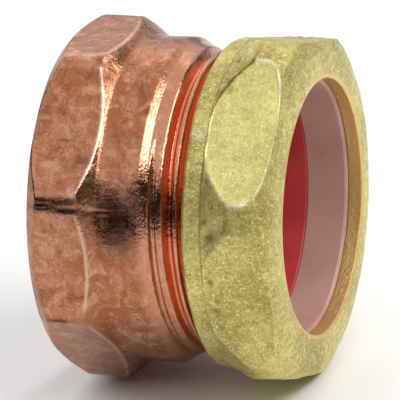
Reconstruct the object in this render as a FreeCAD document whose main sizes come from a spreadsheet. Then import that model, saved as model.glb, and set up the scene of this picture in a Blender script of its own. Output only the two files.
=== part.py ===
"""Slip-joint compression fitting for 38.1 mm (1-1/2 in) tube.

The fitting's axis is X, with the nut's mouth towards +X.  The origin is the centre of the collar's
end face, and -Z is square to one of the collar's eight flats.  Lengths are in millimetres.
"""
import FreeCAD, Part
import math
import os
import Sketcher
from FreeCAD import Vector

SIZES = {
    # octagonal wrench collar with a female pipe thread
    "collar_end_radius": 25.6,
    "collar_chamfer": 2.1,
    "collar_corner_radius": 27.8,
    "collar_across_flats": 52.2,
    "collar_length": 8.3,
    "collar_back_length": 2.7,
    "pipe_minor_radius": 22.6,
    "pipe_root_radius": 23.9,
    "pipe_entry_radius": 24.2,
    "pipe_thread_length": 12.4,
    "pipe_relief_length": 1.4,
    "pipe_run_out": 0.5,
    # neck, shoulder and slip thread of the body
    "neck_radius": 25.0,
    "neck_end": 17.2,
    "shoulder_edge_radius": 24.2,
    "shoulder_edge": 18.3,
    "thread_crest_radius": 23.2,
    "thread_start": 20.9,
    "thread_root_radius": 22.1,
    "body_length": 29.4,
    "mouth_chamfer": 0.5,
    "thread_pitch": 2.209,
    "groove_root_width": 0.45,
    "first_groove": 18.88,
    # bores of the body
    "stop_radius": 18.2,
    "stop_length": 2.6,
    "socket_radius": 19.4,
    "seal_seat": 24.4,
    "pocket_radius": 20.6,
    "pocket_bevel": 27.6,
    "pocket_mouth_radius": 21.3,
    # rubber seal
    "seal_bore_radius": 19.1,
    "seal_radius": 20.5,
    "seal_lip_radius": 21.2,
    "seal_length": 5.38,
    "seal_straight": 3.2,
    "seal_bevel": 1.7,
    # ring between the seal and the nut's lip
    "ring_bore_radius": 19.15,
    "ring_radius": 21.9,
    "ring_length": 6.45,
    "ring_seat": 29.83,
    "ring_chamfer": 0.4,
    # gland nut
    "nut_seat": 24.23,
    "nut_length": 14.44,
    "nut_rear_radius": 24.6,
    "nut_band_radius": 25.2,
    "nut_band_round": 0.6,
    "nut_band_length": 2.1,
    "nut_across_flats": 50.8,
    "nut_corner_radius": 28.1,
    "nut_crease": 7.6,
    "nut_dome_start": 12.7,
    "nut_dome_radius": 25.5,
    "nut_bore_radius": 22.35,
    "nut_root_radius": 23.45,
    "nut_mouth_radius": 19.6,
    "nut_rim_radius": 20.0,
    "nut_rim_chamfer": 0.2,
    "nut_lip_length": 2.34,
    "nut_thread_length": 9.0,
    "flank_clearance": 0.15,
    "nut_rear_bend": 15.0,
    "nut_front_bend": 13.0,
    "nut_dome_bend": 9.8,
    # how far a cut stands clear of the metal it is made in
    "cut_room": 0.4,
}
COLLAR_FLATS = 8
NUT_FLATS = 6
# the turn, about +X from the vertical, of the nut's first flat as it stands on the thread
NUT_PHASE = 41.4
FLANK_SLOPE = math.tan(math.radians(30))

doc = FreeCAD.newDocument("compression_fitting")


class Size:
    """A length as a number, for placing geometry, and as the sheet expression that drives it."""

    def __init__(self, value, text):
        self.value = value
        self.text = text

    def __add__(self, other):
        return Size(self.value + other.value, "(%s + %s)" % (self.text, other.text))

    def __sub__(self, other):
        return Size(self.value - other.value, "(%s - %s)" % (self.text, other.text))

    def __mul__(self, factor):
        return Size(self.value * factor, "(%s * %.9f)" % (self.text, factor))


def fill_sheet():
    """Write every driving size into the sheet, one row each, and give back its Size."""
    sheet = doc.addObject("Spreadsheet::Sheet", "Sizes")
    sizes = {}
    for row, (alias, value) in enumerate(SIZES.items(), start=1):
        sheet.set("A%d" % row, alias.replace("_", " "))
        sheet.set("B%d" % row, str(value))
        sheet.setAlias("B%d" % row, alias)
        sizes[alias] = Size(value, "Sizes." + alias)
    doc.recompute()
    return sizes


S = fill_sheet()
ZERO = Size(0.0, "0")


def new_body(label):
    """An empty PartDesign body that becomes one piece of the fitting."""
    body = doc.addObject("PartDesign::Body", label)
    body.Label = label
    return body


def plane_sketch(body, name, role, turn=0.0):
    """A sketch on one of the body's own origin planes, turned about that plane's normal."""
    sketch = body.newObject("Sketcher::SketchObject", name)
    plane = [feature for feature in body.Origin.OriginFeatures if feature.Role == role][0]
    sketch.AttachmentSupport = (plane, [""])
    sketch.MapMode = "FlatFace"
    turned = FreeCAD.Rotation(Vector(0, 0, 1), turn)
    sketch.AttachmentOffset = FreeCAD.Placement(Vector(0, 0, 0), turned)
    return sketch


def bind(sketch, constraint, size):
    """Add a constraint and drive it from the sheet."""
    index = sketch.addConstraint(constraint)
    sketch.setExpression("Constraints[%d]" % index, size.text)


def arc_between(start, end, bend):
    """Arc from start to end; a positive bend turns left.  Also says whether it runs start to end."""
    chord = end - start
    half = chord.Length / 2
    radius = abs(bend)
    side = math.copysign(math.sqrt(radius * radius - half * half), bend)
    centre = (start + end) * 0.5 + Vector(-chord.y, chord.x, 0).normalize() * side
    circle = Part.Circle(centre, Vector(0, 0, 1), radius)
    first, last = (start, end) if bend > 0 else (end, start)
    angles = [math.atan2(p.y - centre.y, p.x - centre.x) for p in (first, last)]
    return Part.ArcOfCircle(circle, angles[0], angles[1]), bend > 0


def outline(sketch, points):
    """Close a loop through (x, y) points; a third value is the radius of the arc to that point,
    and a fourth says which way it turns."""
    places = [Vector(point[0].value, point[1].value, 0) for point in points]
    ends = []
    for index, point in enumerate(points):
        start = places[index - 1]
        end = places[index]
        if len(point) == 2:
            geometry = sketch.addGeometry(Part.LineSegment(start, end))
            ends.append((geometry, 1, 2))
            continue
        arc, forward = arc_between(start, end, point[2].value * point[3])
        geometry = sketch.addGeometry(arc)
        ends.append((geometry, 1, 2) if forward else (geometry, 2, 1))
    for index, (geometry, first, last) in enumerate(ends):
        following, following_first, _ = ends[(index + 1) % len(ends)]
        sketch.addConstraint(Sketcher.Constraint("Coincident", geometry, last, following, following_first))
    for (geometry, _, last), point in zip(ends, points):
        across = Sketcher.Constraint("DistanceX", -1, 1, geometry, last, point[0].value)
        bind(sketch, across, point[0])
        upward = Sketcher.Constraint("DistanceY", -1, 1, geometry, last, point[1].value)
        bind(sketch, upward, point[1])
        if len(point) == 4:
            bind(sketch, Sketcher.Constraint("Radius", geometry, point[2].value), point[2])


def revolve(body, name, points):
    """Turn an outline of (distance along X, radius) points about the X axis."""
    sketch = plane_sketch(body, name + "_outline", "XZ_Plane")
    outline(sketch, points)
    turned = body.newObject("PartDesign::Revolution", name)
    turned.Profile = sketch
    turned.ReferenceAxis = (sketch, ["H_Axis"])
    turned.Angle = 360
    body.Tip = turned
    doc.recompute()
    return turned


def wrench_flats(body, name, count, across_flats, corner_radius, turn):
    """Cut one flat right along the piece and repeat it around X."""
    sketch = plane_sketch(body, name + "_outline", "YZ_Plane", turn)
    low = across_flats * 0.5
    depth = corner_radius - low + S["cut_room"]
    width = corner_radius * (2 * math.sin(math.pi / count))
    half = width.value / 2
    high = low.value + depth.value
    corners = [
        Vector(-half, low.value, 0),
        Vector(half, low.value, 0),
        Vector(half, high, 0),
        Vector(-half, high, 0),
    ]
    for index, corner in enumerate(corners):
        sketch.addGeometry(Part.LineSegment(corner, corners[(index + 1) % 4]))
    for index in range(4):
        sketch.addConstraint(Sketcher.Constraint("Coincident", index, 2, (index + 1) % 4, 1))
    for index, direction in ((1, "Vertical"), (2, "Horizontal"), (3, "Vertical")):
        sketch.addConstraint(Sketcher.Constraint(direction, index))
    sketch.addConstraint(Sketcher.Constraint("Symmetric", 0, 1, 0, 2, -2))
    bind(sketch, Sketcher.Constraint("DistanceX", 0, 1, 0, 2, width.value), width)
    bind(sketch, Sketcher.Constraint("DistanceY", 1, 1, 1, 2, depth.value), depth)
    bind(sketch, Sketcher.Constraint("DistanceY", -1, 1, 0, 1, low.value), low)
    flat = body.newObject("PartDesign::Pocket", name)
    flat.Profile = sketch
    flat.Midplane = True
    flat.Type = "ThroughAll"
    body.Tip = flat
    doc.recompute()
    ring = body.newObject("PartDesign::PolarPattern", name + "_ring")
    ring.Originals = [flat]
    ring.Axis = (plane_sketch(body, name + "_axis", "XY_Plane"), ["H_Axis"])
    ring.Angle = 360
    ring.Occurrences = count
    body.Tip = ring
    doc.recompute()
    return ring


def thread_groove(body, name, start, length, root, opening, root_width):
    """Cut a right-hand V groove with a flat root; it starts above the X axis and runs towards +X."""
    slope = FLANK_SLOPE * abs(opening.value - root.value)
    spread = Size(slope, "(%.9f * abs(%s - %s))" % (FLANK_SLOPE, opening.text, root.text))
    half_root = root_width * 0.5
    sketch = plane_sketch(body, name + "_outline", "XZ_Plane")
    outline(sketch, [
        (start - half_root, root),
        (start + half_root, root),
        (start + half_root + spread, opening),
        (start - half_root - spread, opening),
    ])
    groove = body.newObject("PartDesign::SubtractiveHelix", name)
    groove.Profile = sketch
    groove.ReferenceAxis = (sketch, ["H_Axis"])
    groove.Mode = 0
    groove.setExpression("Pitch", S["thread_pitch"].text)
    groove.setExpression("Height", length.text)
    groove.LeftHanded = False
    groove.Reversed = False
    body.Tip = groove
    doc.recompute()
    return groove


def seat(body, distance):
    """Stand a piece at its place along the fitting's axis."""
    body.setExpression("Placement.Base.x", distance.text)


def fitting_body():
    """Copper body: octagonal collar with the pipe thread, neck, slip thread and seal pocket."""
    body = new_body("fitting_body")
    neck_start = S["collar_length"] + S["collar_back_length"]
    relief_end = S["pipe_thread_length"] + S["pipe_relief_length"]
    stop_end = relief_end + S["stop_length"]
    entry = S["pipe_entry_radius"] - S["pipe_minor_radius"]
    revolve(body, "shell", [
        (ZERO, S["pipe_entry_radius"]),
        (entry, S["pipe_minor_radius"]),
        (S["pipe_thread_length"], S["pipe_minor_radius"]),
        (S["pipe_thread_length"], S["pipe_root_radius"]),
        (relief_end, S["pipe_root_radius"]),
        (relief_end, S["stop_radius"]),
        (stop_end, S["stop_radius"]),
        (stop_end, S["socket_radius"]),
        (S["seal_seat"], S["socket_radius"]),
        (S["seal_seat"], S["pocket_radius"]),
        (S["pocket_bevel"], S["pocket_radius"]),
        (S["body_length"], S["pocket_mouth_radius"]),
        (S["body_length"], S["thread_crest_radius"] - S["mouth_chamfer"]),
        (S["body_length"] - S["mouth_chamfer"], S["thread_crest_radius"]),
        (S["thread_start"], S["thread_crest_radius"]),
        (S["shoulder_edge"], S["shoulder_edge_radius"]),
        (S["neck_end"], S["neck_radius"]),
        (neck_start, S["neck_radius"]),
        (S["collar_length"], S["collar_corner_radius"]),
        (S["collar_chamfer"], S["collar_corner_radius"]),
        (ZERO, S["collar_end_radius"]),
    ])
    wrench_flats(body, "collar_flat", COLLAR_FLATS, S["collar_across_flats"], S["collar_corner_radius"], 0.0)
    slip_run = S["body_length"] - S["first_groove"] + S["thread_pitch"] * 2
    thread_groove(body, "slip_thread", S["first_groove"], slip_run, S["thread_root_radius"],
                  S["neck_radius"] + S["cut_room"], S["groove_root_width"])
    pipe_start = ZERO - S["thread_pitch"]
    pipe_run = S["pipe_thread_length"] + S["pipe_run_out"] - pipe_start
    thread_groove(body, "pipe_thread", pipe_start, pipe_run, S["pipe_root_radius"],
                  S["pipe_minor_radius"] - S["cut_room"], S["groove_root_width"])
    return body


def seal_washer():
    """Rubber seal in the body's pocket, bevelled where the pocket opens."""
    body = new_body("seal_washer")
    bevel_end = S["seal_straight"] + S["seal_bevel"]
    revolve(body, "seal", [
        (ZERO, S["seal_bore_radius"]),
        (S["seal_length"], S["seal_bore_radius"]),
        (S["seal_length"], S["seal_lip_radius"]),
        (bevel_end, S["seal_lip_radius"]),
        (S["seal_straight"], S["seal_radius"]),
        (ZERO, S["seal_radius"]),
    ])
    seat(body, S["seal_seat"])
    return body


def compression_ring():
    """Gland ring that the nut's lip pushes against the seal without twisting it."""
    body = new_body("compression_ring")
    chamfer = S["ring_chamfer"]
    revolve(body, "ring", [
        (ZERO, S["ring_bore_radius"]),
        (S["ring_length"] - chamfer, S["ring_bore_radius"]),
        (S["ring_length"], S["ring_bore_radius"] + chamfer),
        (S["ring_length"], S["ring_radius"] - chamfer),
        (S["ring_length"] - chamfer, S["ring_radius"]),
        (chamfer, S["ring_radius"]),
        (ZERO, S["ring_radius"] - chamfer),
    ])
    seat(body, S["ring_seat"])
    return body


def gland_nut():
    """Brass nut: round rear band, chamfered hexagon, domed front and a lip around the tube."""
    body = new_body("gland_nut")
    lip = S["nut_length"] - S["nut_lip_length"]
    apothem = S["nut_across_flats"] * 0.5
    entry = S["nut_root_radius"] - S["nut_bore_radius"]
    revolve(body, "blank", [
        (ZERO, S["nut_root_radius"]),
        (entry, S["nut_bore_radius"]),
        (lip, S["nut_bore_radius"]),
        (lip, S["nut_mouth_radius"]),
        (S["nut_length"] - S["nut_rim_chamfer"], S["nut_mouth_radius"]),
        (S["nut_length"], S["nut_rim_radius"]),
        (S["nut_dome_start"], S["nut_dome_radius"], S["nut_dome_bend"], 1),
        (S["nut_crease"], S["nut_corner_radius"], S["nut_front_bend"], 1),
        (S["nut_band_length"], apothem, S["nut_rear_bend"], 1),
        (S["nut_band_length"], S["nut_band_radius"]),
        (S["nut_band_round"], S["nut_band_radius"]),
        (ZERO, S["nut_rear_radius"]),
    ])
    wrench_flats(body, "nut_flat", NUT_FLATS, S["nut_across_flats"], S["nut_corner_radius"], NUT_PHASE)
    first_ridge = S["first_groove"] + S["thread_pitch"] * 0.5 - S["nut_seat"]
    thread_groove(body, "nut_thread", first_ridge, S["nut_thread_length"] - first_ridge,
                  S["nut_root_radius"], S["nut_bore_radius"] - S["cut_room"], ridge_root_width())
    seat(body, S["nut_seat"])
    return body


def ridge_root_width():
    """Width, at its root, of the nut's groove that takes the body's ridge with room on both flanks."""
    depth = S["thread_crest_radius"] - S["thread_root_radius"]
    over = S["nut_root_radius"] - S["thread_crest_radius"]
    crest = S["thread_pitch"] - S["groove_root_width"] - depth * (2 * FLANK_SLOPE)
    return crest + S["flank_clearance"] * 2 - over * (2 * FLANK_SLOPE)


def check_and_write(pieces):
    """Stop on any failed object or bad shape, then write one STEP file per piece."""
    doc.recompute()
    for item in doc.Objects:
        if "Invalid" in item.State or "Error" in item.State:
            raise RuntimeError("failed object: " + item.Name)
    os.makedirs("parts", exist_ok=True)
    for piece in pieces:
        shape = piece.Shape
        if shape.isNull() or not shape.isValid():
            raise RuntimeError("bad shape: " + piece.Label)
        print("%-18s volume %9.1f mm3, solids %d" % (piece.Label, shape.Volume, len(shape.Solids)))
        shape.exportStep("parts/%s.step" % piece.Label)


check_and_write([fitting_body(), seal_washer(), compression_ring(), gland_nut()])
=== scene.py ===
"""Looks of a slip-joint compression fitting: copper body, red seal, gland ring and rough brass nut.

The fitting's axis is X, with the nut's mouth towards +X and the floor below.  Shapes are worked out
in millimetres and turned into metres when a mesh is made.  A turn is the angle about +X from the
vertical, and it grows from the top towards the side that faces the camera.
"""
import math

import bpy
import numpy as np
from mathutils import Matrix, Vector


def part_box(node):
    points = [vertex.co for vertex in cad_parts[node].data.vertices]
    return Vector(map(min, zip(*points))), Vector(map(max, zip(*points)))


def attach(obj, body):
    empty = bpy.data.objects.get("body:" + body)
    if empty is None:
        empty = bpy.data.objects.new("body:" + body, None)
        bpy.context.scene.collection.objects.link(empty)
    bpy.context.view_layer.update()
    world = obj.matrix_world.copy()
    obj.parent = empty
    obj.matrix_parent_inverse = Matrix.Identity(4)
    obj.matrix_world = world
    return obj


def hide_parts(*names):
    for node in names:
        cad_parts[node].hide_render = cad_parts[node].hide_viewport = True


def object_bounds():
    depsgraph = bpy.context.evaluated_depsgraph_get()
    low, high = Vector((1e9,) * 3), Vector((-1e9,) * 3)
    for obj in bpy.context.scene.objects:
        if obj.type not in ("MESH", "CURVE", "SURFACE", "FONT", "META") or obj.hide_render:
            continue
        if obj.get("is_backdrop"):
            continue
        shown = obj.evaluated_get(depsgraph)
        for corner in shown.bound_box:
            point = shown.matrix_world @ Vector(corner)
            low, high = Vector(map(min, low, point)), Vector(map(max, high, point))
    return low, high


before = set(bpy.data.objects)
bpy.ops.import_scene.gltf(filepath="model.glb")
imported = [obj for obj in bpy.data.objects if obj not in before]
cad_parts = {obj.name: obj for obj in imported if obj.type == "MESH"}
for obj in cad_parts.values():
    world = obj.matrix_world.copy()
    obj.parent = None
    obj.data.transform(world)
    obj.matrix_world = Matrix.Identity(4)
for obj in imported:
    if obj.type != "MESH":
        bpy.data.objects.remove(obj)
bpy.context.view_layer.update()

MM = 0.001
FULL_TURN = 2 * math.pi
STEPS_ROUND = 600
FLANK_SLOPE = math.tan(math.radians(30))
THREAD_PITCH = 2.209
GROOVE_ROOT_WIDTH = 0.45
rng = np.random.default_rng(38)


def start_of(node):
    """Where a CAD node begins along the axis, in millimetres."""
    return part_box(node)[0].x / MM


def end_of(node):
    """Where a CAD node ends along the axis, in millimetres."""
    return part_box(node)[1].x / MM


# sizes in millimetres, as lengths along X and radii
THREAD_CREST = 23.2
THREAD_ROOT = 22.1
FIRST_GROOVE = 18.88
PIPE_MINOR = 22.6
PIPE_ROOT = 23.9
PIPE_END = 12.4
RELIEF_END = 13.8
STOP_END = 16.4
STOP_RADIUS = 18.2
SOCKET_RADIUS = 19.4
POCKET_RADIUS = 20.6
POCKET_FLARE = 27.6
NECK_RADIUS = 25.0
NECK_START = 11.0
NECK_END = 17.2
SHOULDER_START = 18.3
SHOULDER_END = 20.9
SHOULDER_RADIUS = 24.2
COLLAR_CORNER_RADIUS = 27.8
COLLAR_CHAMFER = 2.1
COLLAR_END = 8.3
COLLAR_RIM = 25.6
COLLAR_MOUTH = 24.2
COLLAR_MOUTH_DEPTH = 1.6
NUT_BORE = 22.35
NUT_ROOT = 23.45
NUT_MOUTH = 19.6
NUT_LIP = 2.34
NUT_CORNER_RADIUS = 28.1
NUT_BAND_RADIUS = 25.2
NUT_BAND_END = 3.0
NUT_REAR_EDGE = 3.5
NUT_REAR_EDGE_RADIUS = 25.9
NUT_CREASE = 8.3
NUT_RIM = 20.05
NUT_RIM_DEPTH = 0.25
SEAL_BORE = 19.1
SEAL_BARREL = 20.5
SEAL_FLANGE = 21.2
RING_BORE = 19.15
RING_RADIUS = 21.9
RING_CHAMFER = 0.4
OUTLINE_STEP = 0.17
PLAIN_STEP = 0.2

BODY_END = end_of("fitting_body")
NUT_START = start_of("gland_nut")
NUT_END = end_of("gland_nut")
RING_START = start_of("compression_ring")
RING_END = end_of("compression_ring")
SEAL_START = start_of("seal_washer")
SEAL_END = end_of("seal_washer")


# ---------------------------------------------------------------- shape tools

def smooth_step(value):
    value = np.clip(value, 0.0, 1.0)
    return value * value * (3 - 2 * value)


def soft_min(first, second, blend):
    """The lower of two surfaces, rounded over where they cross."""
    share = np.clip(0.5 + 0.5 * (second - first) / blend, 0.0, 1.0)
    return second * (1 - share) + first * share - blend * share * (1 - share)


def soft_max(first, second, blend):
    return -soft_min(-first, -second, blend)


def wave_noise(points, wavelength, waves=40):
    """Smooth random relief of about unit size, made of plane waves in random directions."""
    total = np.zeros(len(points))
    for _ in range(waves):
        direction = rng.normal(size=3)
        direction /= np.linalg.norm(direction)
        length = wavelength * rng.uniform(0.7, 1.5)
        total += np.sin(points @ direction * (FULL_TURN / length) + rng.uniform(0, FULL_TURN))
    return total / math.sqrt(waves / 2)


def rounded_path(corners, step):
    """Points round a closed (x, radius, corner rounding) outline, corners rounded, about a step apart."""
    count = len(corners)
    pieces = []
    for index in range(count):
        before, here, after = (np.array(corners[(index + shift) % count][:2]) for shift in (-1, 0, 1))
        rounding = corners[index][2]
        into = (here - before) / np.linalg.norm(here - before)
        out = (after - here) / np.linalg.norm(after - here)
        turn = math.acos(float(np.clip(into @ out, -1, 1)))
        if rounding <= 0 or turn < 0.02:
            pieces.append([here])
            continue
        setback = rounding * math.tan(turn / 2)
        room = 0.48 * min(np.linalg.norm(here - before), np.linalg.norm(after - here))
        setback = min(setback, room)
        arc_steps = max(3, int(math.ceil(turn * setback / math.tan(turn / 2) / step)))
        arc = []
        for share in np.linspace(0, 1, arc_steps + 1):
            arc.append((1 - share) ** 2 * (here - into * setback)
                       + 2 * share * (1 - share) * here
                       + share ** 2 * (here + out * setback))
        pieces.append(arc)
    path = []
    for index, piece in enumerate(pieces):
        path.extend(piece)
        gap_start = piece[-1]
        gap_end = pieces[(index + 1) % count][0]
        length = np.linalg.norm(gap_end - gap_start)
        for share in np.linspace(0, 1, int(length / step) + 2)[1:-1]:
            path.append(gap_start + (gap_end - gap_start) * share)
    return np.array(path)


def flat_radius(turns, flats):
    """Distance from the axis to the nearest of the flats, each a (turn of its normal, apothem)."""
    nearest = np.full(turns.shape, 1e3)
    for normal, apothem in flats:
        facing = np.cos(turns - normal)
        nearest = np.where(facing > 0.3, np.minimum(nearest, apothem / np.maximum(facing, 0.3)), nearest)
    return nearest


def groove_offset(x, turns, first):
    """Distance along X from the middle of the nearest turn of a right-hand groove, and the angle run."""
    along = (x - first) / THREAD_PITCH - turns / FULL_TURN
    which = np.round(along)
    return (along - which) * THREAD_PITCH, turns + which * FULL_TURN


def groove_radius(offset, root, root_width, outward):
    """Radius of a V groove's surface; outward is 1 for a groove in a shaft, -1 for one in a bore."""
    rise = np.maximum(np.abs(offset) - root_width / 2, 0.0) / FLANK_SLOPE
    return root + outward * rise


class Turned:
    """A closed surface round the X axis, as a grid of path points by turns."""

    def __init__(self, path):
        turns = np.arange(STEPS_ROUND) * FULL_TURN / STEPS_ROUND
        self.turns, self.x = np.meshgrid(turns, path[:, 0])
        self.radius = np.repeat(path[:, 1:2], STEPS_ROUND, axis=1)
        self.outer = self.find_outer(path)
        self.dirt_and_shade = np.zeros(self.x.shape)
        self.masks = {}

    @staticmethod
    def find_outer(path):
        """True for the path points on the outside: those run back towards -X."""
        ahead = np.roll(path[:, 0], -1) - np.roll(path[:, 0], 1)
        return (ahead < 1e-6)[:, None]

    def points(self):
        return np.stack([self.x, -self.radius * np.sin(self.turns), self.radius * np.cos(self.turns)], -1)

    def relief(self, wavelength, height, where=1.0):
        """Lift the surface by smooth noise."""
        noise = wave_noise(self.points().reshape(-1, 3), wavelength).reshape(self.x.shape)
        self.radius = self.radius + noise * height * where

    def mark(self, x, height, size_x, size_round, depth, dirt_and_shade=0.0):
        """Press a soft, perhaps dirty dent, or raise a bump with a negative depth; with no depth it only
        paints colour, as for the painted shade on the neck.
        """
        turn = math.radians(90 - height)
        across = np.angle(np.exp(1j * (self.turns - turn))) * self.radius
        fall = np.exp(-((self.x - x) / size_x) ** 2 - (across / size_round) ** 2) * self.outer
        self.radius = self.radius - depth * fall
        self.dirt_and_shade = np.maximum(self.dirt_and_shade, dirt_and_shade * fall)

    def mesh(self, name):
        """Make the Blender object, with each mask as a float attribute."""
        rows, columns = self.x.shape
        mesh = bpy.data.meshes.new(name)
        points = self.points().reshape(-1, 3) * MM
        index = np.arange(rows * columns).reshape(rows, columns)
        next_row = np.roll(index, -1, axis=0)
        quads = np.stack([index, np.roll(index, -1, axis=1), np.roll(next_row, -1, axis=1), next_row], -1)
        quads = quads.reshape(-1, 4)
        mesh.vertices.add(len(points))
        mesh.vertices.foreach_set("co", points.ravel())
        mesh.loops.add(quads.size)
        mesh.loops.foreach_set("vertex_index", quads.ravel())
        mesh.polygons.add(len(quads))
        mesh.polygons.foreach_set("loop_start", np.arange(0, quads.size, 4))
        mesh.update(calc_edges=True)
        mesh.validate()
        mesh.polygons.foreach_set("use_smooth", np.ones(len(quads), bool))
        for label, mask in self.masks.items():
            layer = mesh.attributes.new(label, "FLOAT", "POINT")
            layer.data.foreach_set("value", np.broadcast_to(mask, self.x.shape).ravel().astype(np.float32))
        thing = bpy.data.objects.new(name, mesh)
        bpy.context.scene.collection.objects.link(thing)
        return thing


# ---------------------------------------------------------------- the copper body

COLLAR_STRIP = math.radians(2.35)
# how many degrees each corner of the pressed collar stands off its even place, starting from the
# lowest corner on the camera's side and going up over the top
CORNER_STRAY = (0, 4, -1, 4, 0, 0, 0, 0)
LOW_CORNER, MIDDLE_CORNER, HIGH_CORNER = 1, 2, 3


def corner_height(index):
    """How high a collar corner stands above the horizon, in degrees, seen from the front."""
    return 45 * (index - 1.5) + CORNER_STRAY[index]


def collar_flats():
    """The collar's eight flats, each between two corners of the turned blank."""
    corners = [math.radians(90 - corner_height(index)) for index in range(len(CORNER_STRAY))]
    flats = []
    for index, corner in enumerate(corners):
        following = corners[(index + 1) % len(corners)]
        gap = (corner - following) % FULL_TURN
        flats.append((corner - gap / 2, COLLAR_CORNER_RADIUS * math.cos(gap / 2 - COLLAR_STRIP)))
    return flats


def body_path():
    """Outline of the copper body, out along its bores and back along its outside."""
    return rounded_path([
        (0.0, COLLAR_MOUTH, 0.15),
        (COLLAR_MOUTH_DEPTH, PIPE_MINOR, 0.2),
        (PIPE_END, PIPE_MINOR, 0.1),
        (PIPE_END, PIPE_ROOT, 0.2),
        (RELIEF_END, PIPE_ROOT, 0.2),
        (RELIEF_END, STOP_RADIUS, 0.3),
        (STOP_END, STOP_RADIUS, 0.3),
        (STOP_END, SOCKET_RADIUS, 0.2),
        (SEAL_START, SOCKET_RADIUS, 0.15),
        (SEAL_START, POCKET_RADIUS, 0.2),
        (POCKET_FLARE, POCKET_RADIUS, 0.3),
        (BODY_END, 21.3, 0.1),
        (BODY_END, THREAD_CREST - 0.5, 0.15),
        (BODY_END - 0.5, THREAD_CREST, 0.3),
        (SHOULDER_END, THREAD_CREST, 0.8),
        (SHOULDER_START, SHOULDER_RADIUS, 0.35),
        (NECK_END, NECK_RADIUS, 0.3),
        (NECK_START, NECK_RADIUS, 1.5),
        (COLLAR_END, COLLAR_CORNER_RADIUS, 0.6),
        (COLLAR_CHAMFER, COLLAR_CORNER_RADIUS, 0.6),
        (0.0, COLLAR_RIM, 0.35),
    ], OUTLINE_STEP)


def cut_collar(body):
    """Press the collar's flats, and mask a painted highlight along their edges, brightest where they meet the
    cone behind.
    """
    flats = flat_radius(body.turns, collar_flats())
    behind = 0.2 + 0.8 * smooth_step((body.x - COLLAR_END) / 0.4)
    painted_edge_highlight = np.exp(-((body.radius - flats) / 0.24) ** 2) * body.outer * behind
    body.radius = np.where(body.outer, soft_min(body.radius, flats, 0.32), body.radius)
    return painted_edge_highlight


# how far off the body the groove's surface is kept before the thread starts, and how much shallower
# the groove is where it does
CLEAR_OF_BODY = 4.0
START_SHALLOWER = 1.3


def cut_slip_thread(body):
    """Cut the outside thread, shallow in its first turn, and say how deep each place lies in it."""
    offset, run = groove_offset(body.x, body.turns, FIRST_GROOVE)
    not_started = 1 - smooth_step((run + 0.4) / 1.6)
    first_turn = 1 - smooth_step(run / 6.0)
    groove = groove_radius(offset, THREAD_ROOT, GROOVE_ROOT_WIDTH, 1)
    groove = groove + CLEAR_OF_BODY * not_started + START_SHALLOWER * first_turn
    threaded = body.outer & (body.x > NECK_END - 1.2)
    uncut = body.radius
    body.radius = np.where(threaded, soft_min(uncut, groove, 0.35), uncut)
    return smooth_step((uncut - body.radius) / 0.8)


def cut_pipe_thread(body):
    offset, _ = groove_offset(body.x, body.turns, -THREAD_PITCH)
    groove = groove_radius(offset, PIPE_ROOT, GROOVE_ROOT_WIDTH, -1)
    inside = ~body.outer & (body.x < PIPE_END + 0.2) & (body.radius < PIPE_ROOT + 0.4)
    body.radius = np.where(inside, soft_max(body.radius, groove, 0.2), body.radius)


def stain_and_shade_copper(body):
    """Dirty the collar's corners that face the camera, scratch the upper flat, and paint a dark reflection
    along the neck.
    """
    middle = (COLLAR_CHAMFER + COLLAR_END) / 2
    upper_flat = (corner_height(MIDDLE_CORNER) + corner_height(HIGH_CORNER)) / 2
    for share in (0.0, 0.5, 1.0):
        along = COLLAR_CHAMFER + 1 + share * COLLAR_END
        body.mark(along, corner_height(MIDDLE_CORNER) - 1 - 2 * share, 2.0, 0.4, 0.14, 0.95)
    body.mark(middle - 1, corner_height(LOW_CORNER) - 1, 1.8, 0.35, 0.15, 0.95)
    body.mark(middle, upper_flat - 4, 1.3, 0.22, 0.08, 0.75)
    body.mark(COLLAR_END, upper_flat - 11, 1.3, 0.9, 0.08, 0.55)
    body.mark(COLLAR_END, corner_height(HIGH_CORNER), 0.9, 0.9, 0.15, 0.5)
    body.mark(COLLAR_END + 1.3, corner_height(HIGH_CORNER) - 5, 0.8, 1.8, 0.04, 0.75)
    # painted reflection: a dark band along the neck's camera side, colour only, no dent
    body.mark((NECK_START + NECK_END) / 2, 12, 3.2, 3.8, 0.0, 0.8)


def copper_body():
    body = Turned(body_path())
    painted_edge_highlight = cut_collar(body)
    cavity = cut_slip_thread(body)
    cut_pipe_thread(body)
    smooth_metal = body.outer & (body.x < NECK_END - 0.2)
    body.relief(9.0, 0.030, smooth_metal)
    body.relief(2.6, 0.010, smooth_metal)
    stain_and_shade_copper(body)
    body.masks = {
        "painted_edge_highlight": painted_edge_highlight,
        "dirt_and_shade": body.dirt_and_shade,
        "thread": smooth_step((body.x - NECK_END + 0.4) / 1.6) * body.outer,
        "groove_red": cavity * smooth_step((body.x - SHOULDER_END + 0.7) / 0.6) * body.outer,
    }
    return body.mesh("copper_body")


# ---------------------------------------------------------------- the brass nut

NUT_APOTHEM = 25.4
FLAT_STEP = 60
# height above the horizon, seen from the front, of the nut's lit flat, the one given a painted highlight, in
# degrees
LIT_FLAT = 48.6
# how many degrees each flat is turned off its even place, and how far it stands out of it, going up
# and over from the lit one
FLAT_STRAY = ((0, 0.0), (2, -0.2), (0, 0.0), (0, 0.0), (2, 0.5), (0, 0.0))
# degrees above the lit flat's middle where its step lies, and degrees from it where its rim and the painted
# highlight on the rim fade
STEP_MIDDLE = 18
STEP_REACH = 9
LIT_FLAT_REACH = 26
LIT_FLAT_FADE = 8
DOME_POINTS = 9
LUMPS = 5
PITS = 22


def nut_flats():
    """The nut's six flats, each a (height of its normal, apothem)."""
    flats = []
    for index, (turned, out) in enumerate(FLAT_STRAY):
        flats.append((LIT_FLAT + FLAT_STEP * index + turned, NUT_APOTHEM + out))
    return flats


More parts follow.
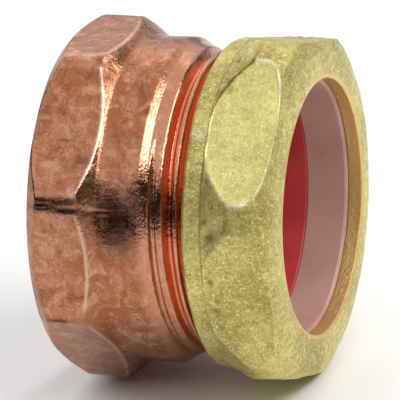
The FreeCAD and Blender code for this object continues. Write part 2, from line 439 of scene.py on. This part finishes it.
def nut_dome():
    """The rounded front, from the mouth's rim back to the crease, as a steep-nosed curve."""
    crease = NUT_START + NUT_CREASE
    points = []
    for share in np.linspace(0, 1, DOME_POINTS) ** 2:
        radius = NUT_RIM + (NUT_CORNER_RADIUS - NUT_RIM) * math.sqrt(1 - (1 - share) ** 4)
        points.append((NUT_END + (crease - NUT_END) * share, radius, 1.0))
    return points


def nut_path():
    """Outline of the nut's blank, out along its bore and back along its outside."""
    return rounded_path([
        (NUT_START, NUT_ROOT, 0.15),
        (NUT_START + NUT_ROOT - NUT_BORE, NUT_BORE, 0.15),
        (NUT_END - NUT_LIP, NUT_BORE, 0.15),
        (NUT_END - NUT_LIP, NUT_MOUTH, 0.15),
        (NUT_END - NUT_RIM_DEPTH, NUT_MOUTH, 0.1),
        *nut_dome(),
        (NUT_START + NUT_REAR_EDGE, NUT_REAR_EDGE_RADIUS, 0.6),
        (NUT_START + NUT_BAND_END, NUT_BAND_RADIUS, 0.3),
        (NUT_START + 0.5, NUT_BAND_RADIUS, 0.45),
        (NUT_START, 24.5, 0.25),
    ], OUTLINE_STEP)


def degrees_from(nut, height):
    """Angle round the axis of each point from a height, in degrees, positive upwards."""
    return (90 - np.degrees(nut.turns) - height + 180) % 360 - 180


def press_flats(nut):
    """Press the six flats, with a raised rim and, above the lit flat, a step; set the masks of the painted
    highlights on the rim and the lit flat, and of the painted shadow in the step.
    """
    flats = [(math.radians(90 - height), apothem) for height, apothem in nut_flats()]
    plane = flat_radius(nut.turns, flats)
    over = nut.radius - plane
    from_lit_flat = degrees_from(nut, LIT_FLAT)
    rear = nut.outer & (nut.x < NUT_START + NUT_CREASE)
    stepped = rear & (np.abs(from_lit_flat - STEP_MIDDLE) < STEP_REACH)
    uneven = wave_noise(nut.points().reshape(-1, 3), 3.0).reshape(nut.x.shape)
    near_lit_flat = 1 - 0.75 * smooth_step((np.abs(from_lit_flat) - LIT_FLAT_REACH) / LIT_FLAT_FADE)
    # the rim's mask also carries a painted highlight, strongest by the lit flat
    rim = np.exp(-(over / 0.2) ** 2) * near_lit_flat * np.clip(0.8 + 0.35 * uneven, 0.2, 1.4)
    rim = rim * (nut.outer & ~stepped)
    # the step's groove; its mask also carries a painted shadow along it
    step = np.exp(-((over + 0.1) / 0.13) ** 2) * stepped
    above_step = smooth_step(-over / 0.25) * stepped
    nut.radius = np.where(nut.outer, soft_min(nut.radius, plane, 0.3), nut.radius)
    nut.radius = nut.radius + 0.16 * rim - 0.22 * step + 0.14 * above_step
    nut.masks["painted_edge_highlight"] = rim
    nut.masks["step"] = step
    # painted highlight: the lit flat is brightened where it stands proud
    nut.masks["lit_flat_highlight"] = smooth_step(over / 0.3) * (np.abs(from_lit_flat) < FLAT_STEP / 2 + 1) * nut.outer


def cut_nut_thread(nut):
    offset, _ = groove_offset(nut.x, nut.turns, FIRST_GROOVE + THREAD_PITCH / 2)
    groove = groove_radius(offset, NUT_ROOT, GROOVE_ROOT_WIDTH, -1)
    inside = ~nut.outer & (nut.x < NUT_START + 9.0) & (nut.radius < NUT_ROOT)
    nut.radius = np.where(inside, soft_max(nut.radius, groove, 0.2), nut.radius)


def roughen_corners(nut):
    """Leave a line of lumps that curls round each corner of the hexagon, and dents beside it."""
    crease = NUT_START + NUT_CREASE
    for index in range(len(FLAT_STRAY)):
        corner = LIT_FLAT + FLAT_STEP * (index - 0.5)
        for share in np.linspace(0, 1, LUMPS):
            lump = -rng.uniform(0.10, 0.32)
            nut.mark(crease + 1.8 - 4.5 * share, corner + 2.5 - 13 * share, 0.95, 0.7, lump)
        nut.mark(crease - 0.8, corner - 1, 0.9, 1.7, 0.4, 0.15)
        nut.mark(crease - 2.9, corner - 4.5, 1.1, 1.2, 0.25, 0.12)
        nut.mark(NUT_END - 1.8, corner + rng.uniform(-4, 2), 1.0, 0.3, -0.12)


def pit_rear_edge(nut):
    """Scatter small dark pits along the hexagon's rear edge, and leave a burr on top."""
    for height in rng.uniform(-180, 180, PITS):
        along = NUT_START + NUT_REAR_EDGE + rng.uniform(0, 2)
        size = rng.uniform(0.4, 0.9)
        nut.mark(along, height, size, size, 0.22, rng.uniform(0.3, 0.6))
    nut.mark(NUT_START + NUT_CREASE - 1, 90, 1.6, 0.6, -0.25, 0.3)


def brass_nut():
    nut = Turned(nut_path())
    press_flats(nut)
    cut_nut_thread(nut)
    nut.relief(7.0, 0.07, nut.outer)
    nut.relief(2.2, 0.018, nut.outer)
    roughen_corners(nut)
    pit_rear_edge(nut)
    nut.masks["dirt_and_shade"] = nut.dirt_and_shade
    nut.masks["bore"] = (~nut.outer).astype(float)
    return nut.mesh("brass_nut")


# ---------------------------------------------------------------- seal and ring

def red_seal():
    seal = Turned(rounded_path([
        (SEAL_START, SEAL_BORE, 0.25),
        (SEAL_END, SEAL_BORE, 0.3),
        (SEAL_END, SEAL_FLANGE, 0.2),
        (SEAL_END - 0.48, SEAL_FLANGE, 0.2),
        (SEAL_START + 3.2, SEAL_BARREL, 0.5),
        (SEAL_START, SEAL_BARREL, 0.3),
    ], PLAIN_STEP))
    seal.relief(4.0, 0.01)
    return seal.mesh("red_seal")


def gland_ring():
    ring = Turned(rounded_path([
        (RING_START, RING_BORE, 0.12),
        (RING_END - RING_CHAMFER, RING_BORE, 0.2),
        (RING_END, RING_BORE + RING_CHAMFER, 0.15),
        (RING_END, RING_RADIUS - RING_CHAMFER, 0.2),
        (RING_END - RING_CHAMFER, RING_RADIUS, 0.2),
        (RING_START + RING_CHAMFER, RING_RADIUS, 0.2),
        (RING_START, RING_RADIUS - RING_CHAMFER, 0.2),
    ], PLAIN_STEP))
    ring.relief(6.0, 0.008)
    return ring.mesh("gland_ring")


# ---------------------------------------------------------------- materials

class Nodes:
    """Short ways to add and join shader nodes."""

    def __init__(self, name):
        self.material = bpy.data.materials.new(name)
        self.material.use_nodes = True
        self.tree = self.material.node_tree
        self.shader = self.tree.nodes["Principled BSDF"]
        place = self.tree.nodes.new("ShaderNodeTexCoord")
        self.place = place.outputs["Object"]

    def add(self, kind, inputs=None, **settings):
        node = self.tree.nodes.new(kind)
        for key, value in settings.items():
            setattr(node, key, value)
        for key, value in (inputs or {}).items():
            if isinstance(value, bpy.types.NodeSocket):
                self.tree.links.new(value, node.inputs[key])
            else:
                node.inputs[key].default_value = value
        return node

    def scaled(self, x, y, z):
        node = self.add("ShaderNodeMapping", {"Vector": self.place, "Scale": (x, y, z)})
        return node.outputs["Vector"]

    def noise(self, vector, scale, detail=3.0, rough=0.55, distortion=0.0):
        node = self.add("ShaderNodeTexNoise", {
            "Vector": vector, "Scale": scale, "Detail": detail, "Roughness": rough, "Distortion": distortion})
        return node.outputs["Fac"]

    def span(self, value, low, high, to_low=0.0, to_high=1.0):
        node = self.add("ShaderNodeMapRange", {
            "Value": value, "From Min": low, "From Max": high, "To Min": to_low, "To Max": to_high})
        return node.outputs["Result"]

    def math(self, operation, first, second):
        return self.add("ShaderNodeMath", {0: first, 1: second}, operation=operation).outputs[0]

    def mask(self, label):
        return self.add("ShaderNodeAttribute", attribute_name=label).outputs["Fac"]

    def mix(self, share, first, second, blend="MIX"):
        node = self.add("ShaderNodeMix", {"Factor": share}, data_type="RGBA", blend_type=blend)
        sockets = [s for s in node.inputs if s.type == "RGBA"]
        for socket, value in zip(sockets, (first, second)):
            if isinstance(value, bpy.types.NodeSocket):
                self.tree.links.new(value, socket)
            else:
                socket.default_value = value
        return [s for s in node.outputs if s.type == "RGBA"][0]

    def bump(self, height, strength, distance, below=None):
        inputs = {"Height": height, "Strength": strength, "Distance": distance}
        if below is not None:
            inputs["Normal"] = below
        return self.add("ShaderNodeBump", inputs).outputs["Normal"]

    def join(self, socket, name):
        self.tree.links.new(socket, self.shader.inputs[name])


def copper_material():
    n = Nodes("copper")
    n.shader.inputs["Metallic"].default_value = 1.0
    cloud = n.noise(n.place, 70, 4, 0.6)
    mottle = n.noise(n.place, 420, 4, 0.65, 0.8)
    fine = n.noise(n.place, 2600, 4, 0.65, 0.5)
    swirl = n.noise(n.place, 650, 1, 0.5, 3.0)
    lathe = n.noise(n.scaled(1.0, 0.03, 0.03), 2600, 3, 0.6)
    base = n.mix(n.span(cloud, 0.38, 0.62), (0.37, 0.13, 0.052, 1), (0.46, 0.20, 0.115, 1))
    base = n.mix(n.span(mottle, 0.50, 0.68, 0, 0.65), base, (0.70, 0.38, 0.26, 1))
    base = n.mix(n.span(mottle, 0.46, 0.30, 0, 0.8), base, (0.20, 0.07, 0.04, 1))
    base = n.mix(n.span(swirl, 0.46, 0.38, 0, 0.35), base, (0.24, 0.09, 0.05, 1))
    base = n.mix(n.span(fine, 0.42, 0.30, 0, 0.7), base, (0.13, 0.05, 0.035, 1))
    base = n.mix(n.span(fine, 0.60, 0.72, 0, 0.6), base, (0.86, 0.56, 0.42, 1))
    base = n.mix(n.math("MULTIPLY", n.mask("thread"), 0.40), base, (0.74, 0.36, 0.24, 1))
    # redder deep in the thread's grooves
    base = n.mix(n.math("MULTIPLY", n.mask("groove_red"), 0.75), base, (0.68, 0.18, 0.08, 1))
    # painted highlight along the collar's edges
    base = n.mix(n.math("MULTIPLY", n.mask("painted_edge_highlight"), 0.4), base, (1.0, 0.76, 0.62, 1))
    # dirt in the collar's dents, and the painted dark reflection along the neck
    base = n.mix(n.mask("dirt_and_shade"), base, (0.035, 0.02, 0.02, 1))
    n.join(base, "Base Color")
    rough = n.span(mottle, 0.3, 0.7, 0.17, 0.33)
    rough = n.math("SUBTRACT", rough, n.math("MULTIPLY", n.mask("thread"), 0.12))
    n.join(rough, "Roughness")
    low = n.bump(lathe, 0.12, 0.0002)
    mid = n.bump(swirl, 0.25, 0.00015, n.bump(mottle, 0.30, 0.0003, low))
    n.join(n.bump(fine, 0.45, 0.00006, mid), "Normal")
    return n.material


def brass_material():
    n = Nodes("rough_brass")
    n.shader.inputs["Metallic"].default_value = 0.9
    cloud = n.noise(n.place, 90, 4, 0.6)
    grain = n.noise(n.place, 1100, 5, 0.7)
    speck = n.noise(n.place, 3200, 2, 0.6)
    base = n.mix(n.span(cloud, 0.38, 0.62), (0.42, 0.34, 0.08, 1), (0.66, 0.57, 0.18, 1))
    base = n.mix(n.span(grain, 0.52, 0.68, 0, 0.5), base, (0.92, 0.85, 0.42, 1))
    base = n.mix(n.span(grain, 0.47, 0.33, 0, 0.6), base, (0.30, 0.23, 0.05, 1))
    base = n.mix(n.span(speck, 0.42, 0.30, 0, 0.7), base, (0.22, 0.17, 0.04, 1))
    base = n.mix(n.span(speck, 0.58, 0.70, 0, 0.8), base, (1.0, 0.96, 0.60, 1))
    # painted highlight on the flat that faces the lamps
    base = n.mix(n.math("MULTIPLY", n.mask("lit_flat_highlight"), 0.32), base, (1.0, 0.94, 0.40, 1))
    # painted highlight along the flats' raised rim
    base = n.mix(n.math("MULTIPLY", n.mask("painted_edge_highlight"), 0.5), base, (1.0, 0.97, 0.66, 1))
    # painted shadow in the step above the lit flat
    base = n.mix(n.math("MULTIPLY", n.mask("step"), 0.8), base, (0.10, 0.07, 0.02, 1))
    base = n.mix(n.mask("dirt_and_shade"), base, (0.07, 0.055, 0.02, 1))
    base = n.mix(n.math("MULTIPLY", n.mask("bore"), 0.8), base, (0.80, 0.56, 0.22, 1))
    n.join(base, "Base Color")
    n.join(n.span(grain, 0.3, 0.7, 0.50, 0.34), "Roughness")
    low = n.bump(grain, 0.8, 0.00025)
    n.join(n.bump(speck, 0.9, 0.00009, low), "Normal")
    return n.material


def ring_material():
    n = Nodes("ring_plastic")
    cloud = n.noise(n.place, 120, 3, 0.5)
    turned = n.noise(n.scaled(1.0, 0.03, 0.03), 1800, 3, 0.6)
    base = n.mix(n.span(cloud, 0.35, 0.65), (0.48, 0.27, 0.225, 1), (0.56, 0.34, 0.29, 1))
    n.join(base, "Base Color")
    n.join(n.span(turned, 0.3, 0.7, 0.34, 0.48), "Roughness")
    n.join(n.bump(turned, 0.08, 0.0002), "Normal")
    return n.material


def rubber_material():
    n = Nodes("red_rubber")
    cloud = n.noise(n.place, 150, 3, 0.5)
    fine = n.noise(n.place, 1600, 3, 0.6)
    base = n.mix(n.span(cloud, 0.35, 0.65), (0.46, 0.03, 0.035, 1), (0.58, 0.05, 0.05, 1))
    n.join(base, "Base Color")
    n.join(n.span(fine, 0.3, 0.7, 0.38, 0.52), "Roughness")
    n.join(n.bump(fine, 0.12, 0.0002), "Normal")
    return n.material


# ---------------------------------------------------------------- pieces on their bodies

def place(thing, node, body, slot, material):
    """Finish a piece, show it in place of its CAD node, and let it move with its body."""
    thing.data.materials.append(material)
    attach(thing, body)
    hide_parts(node)


place(copper_body(), "fitting_body", "fitting", "copper", copper_material())
place(red_seal(), "seal_washer", "fitting", "red_rubber", rubber_material())
place(gland_ring(), "compression_ring", "ring", "ring_plastic", ring_material())
place(brass_nut(), "gland_nut", "nut", "rough_brass", brass_material())


# ---------------------------------------------------------------- floor, light and camera

FLOOR_HALF = 3.0
WORLD_STRENGTH = 0.03
LAMP_TARGET = (0.02, 0, 0)
# each lamp's name, place, width and height in metres, and power in watts
SOFTBOXES = (
    ("overhead", (-0.15, 0.0, 0.80), 2.6, 1.9, 15.8),
    ("back", (-0.35, 1.25, 0.60), 2.6, 0.9, 7.0),
    ("right_side", (0.57, 0.0, 0.53), 0.85, 0.22, 4.4),
)


def floor():
    """A large pale floor just under the fitting."""
    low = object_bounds()[0].z
    mesh = bpy.data.meshes.new("floor")
    corners = [(x * FLOOR_HALF, y * FLOOR_HALF, low) for x, y in ((-1, -1), (1, -1), (1, 1), (-1, 1))]
    mesh.from_pydata(corners, [], [(0, 1, 2, 3)])
    thing = bpy.data.objects.new("floor", mesh)
    bpy.context.scene.collection.objects.link(thing)
    n = Nodes("floor")
    cloud = n.noise(n.place, 3, 2, 0.5)
    n.join(n.mix(cloud, (0.92, 0.92, 0.92, 1), (0.95, 0.95, 0.95, 1)), "Base Color")
    n.shader.inputs["Roughness"].default_value = 0.7
    thing.data.materials.append(n.material)
    thing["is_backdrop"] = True


def softbox(name, place_at, width, height, power):
    """A rectangular lamp that faces the fitting."""
    lamp = bpy.data.lights.new(name, "AREA")
    lamp.shape = "RECTANGLE"
    lamp.size = width
    lamp.size_y = height
    lamp.energy = power
    thing = bpy.data.objects.new(name, lamp)
    thing.location = place_at
    thing.rotation_euler = (Vector(LAMP_TARGET) - Vector(place_at)).to_track_quat("-Z", "Y").to_euler()
    bpy.context.scene.collection.objects.link(thing)


def studio():
    world = bpy.data.worlds.new("studio")
    bpy.context.scene.world = world
    world.use_nodes = True
    background = world.node_tree.nodes["Background"]
    background.inputs["Color"].default_value = (1, 1, 1, 1)
    background.inputs["Strength"].default_value = WORLD_STRENGTH
    for lamp in SOFTBOXES:
        softbox(*lamp)
    bpy.context.scene.view_settings.view_transform = "Standard"


CAMERA_TARGET = Vector((18.67, 0, 0)) * MM
CAMERA_DISTANCE = 0.797
CAMERA_AZIMUTH = math.radians(20.78)
CAMERA_ELEVATION = math.radians(23.27)
CAMERA_ROLL = math.radians(-5.50)
SENSOR_WIDTH = 36.0
LENS = 467.8


def camera():
    """A long lens that looks along the reference direction, rolled a little."""
    lens = bpy.data.cameras.new("camera")
    lens.sensor_width = SENSOR_WIDTH
    lens.lens = LENS
    lens.clip_start = 0.01
    lens.clip_end = 20
    out = Vector((
        math.cos(CAMERA_ELEVATION) * math.sin(CAMERA_AZIMUTH),
        -math.cos(CAMERA_ELEVATION) * math.cos(CAMERA_AZIMUTH),
        math.sin(CAMERA_ELEVATION),
    ))
    thing = bpy.data.objects.new("camera", lens)
    turned = (-out).to_track_quat("-Z", "Y").to_matrix()
    rolled = turned @ Matrix.Rotation(CAMERA_ROLL, 3, "Z")
    thing.matrix_world = Matrix.Translation(CAMERA_TARGET + out * CAMERA_DISTANCE) @ rolled.to_4x4()
    bpy.context.scene.collection.objects.link(thing)
    bpy.context.scene.camera = thing


floor()
studio()
camera()
